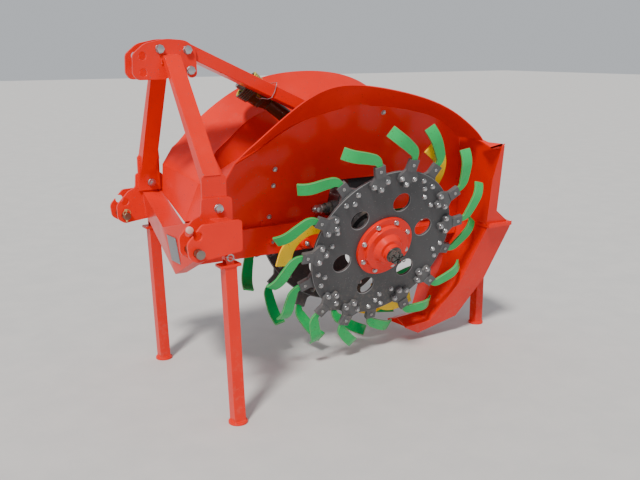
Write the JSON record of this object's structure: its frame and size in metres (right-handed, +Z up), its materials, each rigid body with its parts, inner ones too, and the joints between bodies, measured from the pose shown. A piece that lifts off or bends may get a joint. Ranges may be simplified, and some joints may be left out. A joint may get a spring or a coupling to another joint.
{
  "type": "double wheel rotary ditcher",
  "caption": "Tractor-mounted rotary ditcher with canted cutter wheels under flared hoods, a three-point headstock, a ditch shoe and folding parking stands.",
  "frame": {"origin": "on the ground, under the middle of the bounding box, on the machine's plane of symmetry", "axes": "+X forward to the tractor, +Y to the left, +Z up"},
  "size_m": [1.5578, 0.8, 1.2189],
  "materials": {
    "paint": "satin paint",
    "disc_paint": "grey paint",
    "knife_paint": "green paint",
    "paddle_paint": "yellow paint",
    "gearbox_paint": "dark casting",
    "pin_steel": "plated",
    "yoke_steel": "greasy forging",
    "guard_plastic": "worn plastic"
  },
  "bodies": {
    "frame": {"cross_beam": "paint", "top_link_plates": "paint", "brace": "paint", "hood_tie": "paint", "centre_beam": "paint", "gearbox": "gearbox_paint", "rear_bridge": "paint", "rear_beam": "paint", "rear_spine": "paint", "drive_shaft_guard": "guard_plastic", "drive_shaft_yoke": "yoke_steel", "drive_shaft_coupler": "yoke_steel", "hood_left": "paint", "hood_right": "paint", "hitch_clevis_left": "paint", "hitch_clevis_right": "paint", "hitch_pin_left": "pin_steel", "hitch_pin_right": "pin_steel", "post_left": "paint", "post_right": "paint", "axle_housing_left": "gearbox_paint", "axle_housing_right": "gearbox_paint", "shoe_left": "paint", "shoe_right": "paint", "deflector_left": "paint", "deflector_right": "paint"},
    "wheel_left": {"wheel_disc_left": "disc_paint", "wheel_hub_left": "paint", "wheel_shaft_nut_left": "yoke_steel", "wheel_knife_holders_left": "disc_paint", "wheel_knives_left": "knife_paint", "wheel_paddles_left": "paddle_paint"},
    "wheel_right": {"wheel_disc_right": "disc_paint", "wheel_hub_right": "paint", "wheel_shaft_nut_right": "yoke_steel", "wheel_knife_holders_right": "disc_paint", "wheel_knives_right": "knife_paint", "wheel_paddles_right": "paddle_paint"},
    "stand_front_left": {"stand_front_left": "paint"},
    "stand_front_right": {"stand_front_right": "paint"},
    "stand_rear": {"stand_rear": "paint"}
  },
  "joints": [
    {"name": "wheel_left_spin", "type": "hinge", "parent": "frame", "child": "wheel_left", "pos_m": [-0.081, 0.205, 0.4836], "axis": [0, 0.944, -0.3299], "continuous": true},
    {"name": "wheel_right_spin", "type": "hinge", "parent": "frame", "child": "wheel_right", "pos_m": [-0.081, -0.205, 0.4836], "axis": [0, 0.944, 0.3299], "continuous": true},
    {"name": "stand_front_left_fold", "type": "hinge", "parent": "frame", "child": "stand_front_left", "pos_m": [0.606, 0.3325, 0.562], "axis": [0, 1, 0], "range_deg": [0, 88]},
    {"name": "stand_front_right_fold", "type": "hinge", "parent": "frame", "child": "stand_front_right", "pos_m": [0.606, -0.3325, 0.562], "axis": [0, 1, 0], "range_deg": [0, 88]},
    {"name": "stand_rear_fold", "type": "hinge", "parent": "frame", "child": "stand_rear", "pos_m": [-0.745, 0, 0.462], "axis": [0, 1, 0], "range_deg": [0, 88]}
  ],
  "couplings": [
    {"joint": "wheel_right_spin", "follows": "wheel_left_spin", "ratio": 1}
  ]
}
